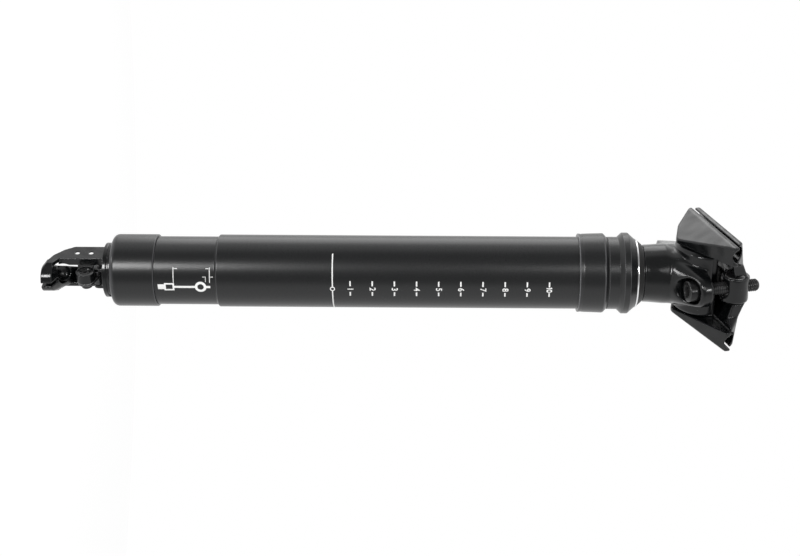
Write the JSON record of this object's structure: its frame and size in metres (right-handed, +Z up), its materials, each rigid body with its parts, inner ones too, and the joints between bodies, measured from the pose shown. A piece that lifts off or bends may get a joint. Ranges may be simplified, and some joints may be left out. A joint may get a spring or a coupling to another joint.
{
  "type": "dropper seatpost",
  "caption": "Telescoping bicycle seatpost with a keyed stanchion, a sealed gas cartridge, a cable actuator at its foot and a tilting two bolt saddle rail clamp on its head.",
  "frame": {"origin": "on the post's axis, at the collar's lower face, where the seat tube ends", "axes": "+Z up the post towards the saddle, +X forward on the bicycle, +Y to the rider's left"},
  "size_m": [0.0594, 0.0534, 0.3422],
  "materials": {
    "tube_black": "satin anodised",
    "forged_black": "gloss",
    "stanchion_black": "polished hard anodised",
    "bolt_black": "blackened steel",
    "steel": "turned",
    "bright_ring": "polished",
    "rubber": "matt",
    "brass": "machined",
    "bushing": "self lubricating liner"
  },
  "bodies": {
    "lower_post": {"outer_tube": "tube_black", "seal_head": "tube_black", "seal_head_o_ring": "rubber", "upper_bushing": "bushing", "wiper_seal": "rubber", "wiper_ring": "bright_ring", "end_cap": "tube_black", "end_cap_seal": "rubber", "bottom_out_bumper": "rubber", "cartridge_shaft": "steel", "main_piston": "steel", "piston_ring": "rubber", "shaft_lock_ring": "steel", "actuator_bracket": "forged_black", "lever_pivot_pin": "steel"},
    "upper_post": {"stanchion": "stanchion_black", "saddle_head": "forged_black", "lower_bushing": "bushing", "guide_keys": "brass", "cartridge_cylinder": "steel", "cylinder_gland": "steel", "gland_seal": "rubber", "cartridge_top_plug": "steel", "cylinder_clip": "steel"},
    "gas_piston": {"floating_piston": "brass", "floating_piston_ring": "rubber"},
    "valve": {"valve_rod": "steel"},
    "lever": {"actuator_lever": "steel"},
    "barrel": {"cable_barrel": "bolt_black", "cable_grub_screw": "bolt_black"},
    "saddle_clamp": {"lower_cradle": "forged_black", "upper_clamp": "forged_black"},
    "rear_nut": {"rear_barrel_nut": "steel"},
    "front_nut": {"front_barrel_nut": "steel"},
    "rear_bolt": {"rear_clamp_bolt": "bolt_black", "rear_bolt_washer": "steel"},
    "front_bolt": {"front_clamp_bolt": "bolt_black", "front_bolt_washer": "steel"}
  },
  "joints": [
    {"name": "post_slide", "type": "slide", "parent": "lower_post", "child": "upper_post", "axis": [0, 0, 1], "range_m": [0, 0.15]},
    {"name": "floating_piston_slide", "type": "slide", "parent": "upper_post", "child": "gas_piston", "axis": [0, 0, 1], "range_m": [-0.0395, 0]},
    {"name": "lever_turn", "type": "hinge", "parent": "lower_post", "child": "lever", "pos_m": [-0.00335, -0.0006, -0.23165], "axis": [0.1771, -0.9842, 0], "range_deg": [0, 20]},
    {"name": "valve_rod_slide", "type": "slide", "parent": "lower_post", "child": "valve", "axis": [0, 0, 1], "range_m": [0, 0.00118]},
    {"name": "barrel_swivel", "type": "hinge", "parent": "lever", "child": "barrel", "pos_m": [-0.00866, -0.00156, -0.2359], "axis": [-0.1771, 0.9842, 0], "range_deg": [-25, 25]},
    {"name": "clamp_tilt", "type": "hinge", "parent": "upper_post", "child": "saddle_clamp", "pos_m": [0, 0, 0.0632], "axis": [0, 1, 0], "range_deg": [-8, 8]},
    {"name": "rear_nut_swivel", "type": "hinge", "parent": "saddle_clamp", "child": "rear_nut", "pos_m": [-0.01491, 0, 0.07404], "axis": [0, 1, 0], "range_deg": [-5, 5]},
    {"name": "front_nut_swivel", "type": "hinge", "parent": "saddle_clamp", "child": "front_nut", "pos_m": [0.01842, 0, 0.06404], "axis": [0, 1, 0], "range_deg": [-9, 9]},
    {"name": "rear_bolt_screw", "type": "slide", "parent": "rear_nut", "child": "rear_bolt", "axis": [0.2343, 0, 0.9722], "range_m": [-0.0025, 0.0025]},
    {"name": "front_bolt_screw", "type": "slide", "parent": "front_nut", "child": "front_bolt", "axis": [-0.1138, 0, 0.9935], "range_m": [-0.0027, 0.0027]}
  ],
  "couplings": [
    {"joint": "floating_piston_slide", "follows": "post_slide", "ratio": -0.2603},
    {"joint": "lever_turn", "follows": "valve_rod_slide", "rad_per_m": 294.12},
    {"joint": "rear_nut_swivel", "follows": "clamp_tilt", "ratio": -0.5859},
    {"joint": "front_nut_swivel", "follows": "clamp_tilt", "ratio": -1.0805},
    {"joint": "rear_bolt_screw", "follows": "clamp_tilt", "m_per_rad": -0.017038},
    {"joint": "front_bolt_screw", "follows": "clamp_tilt", "m_per_rad": 0.018395}
  ]
}
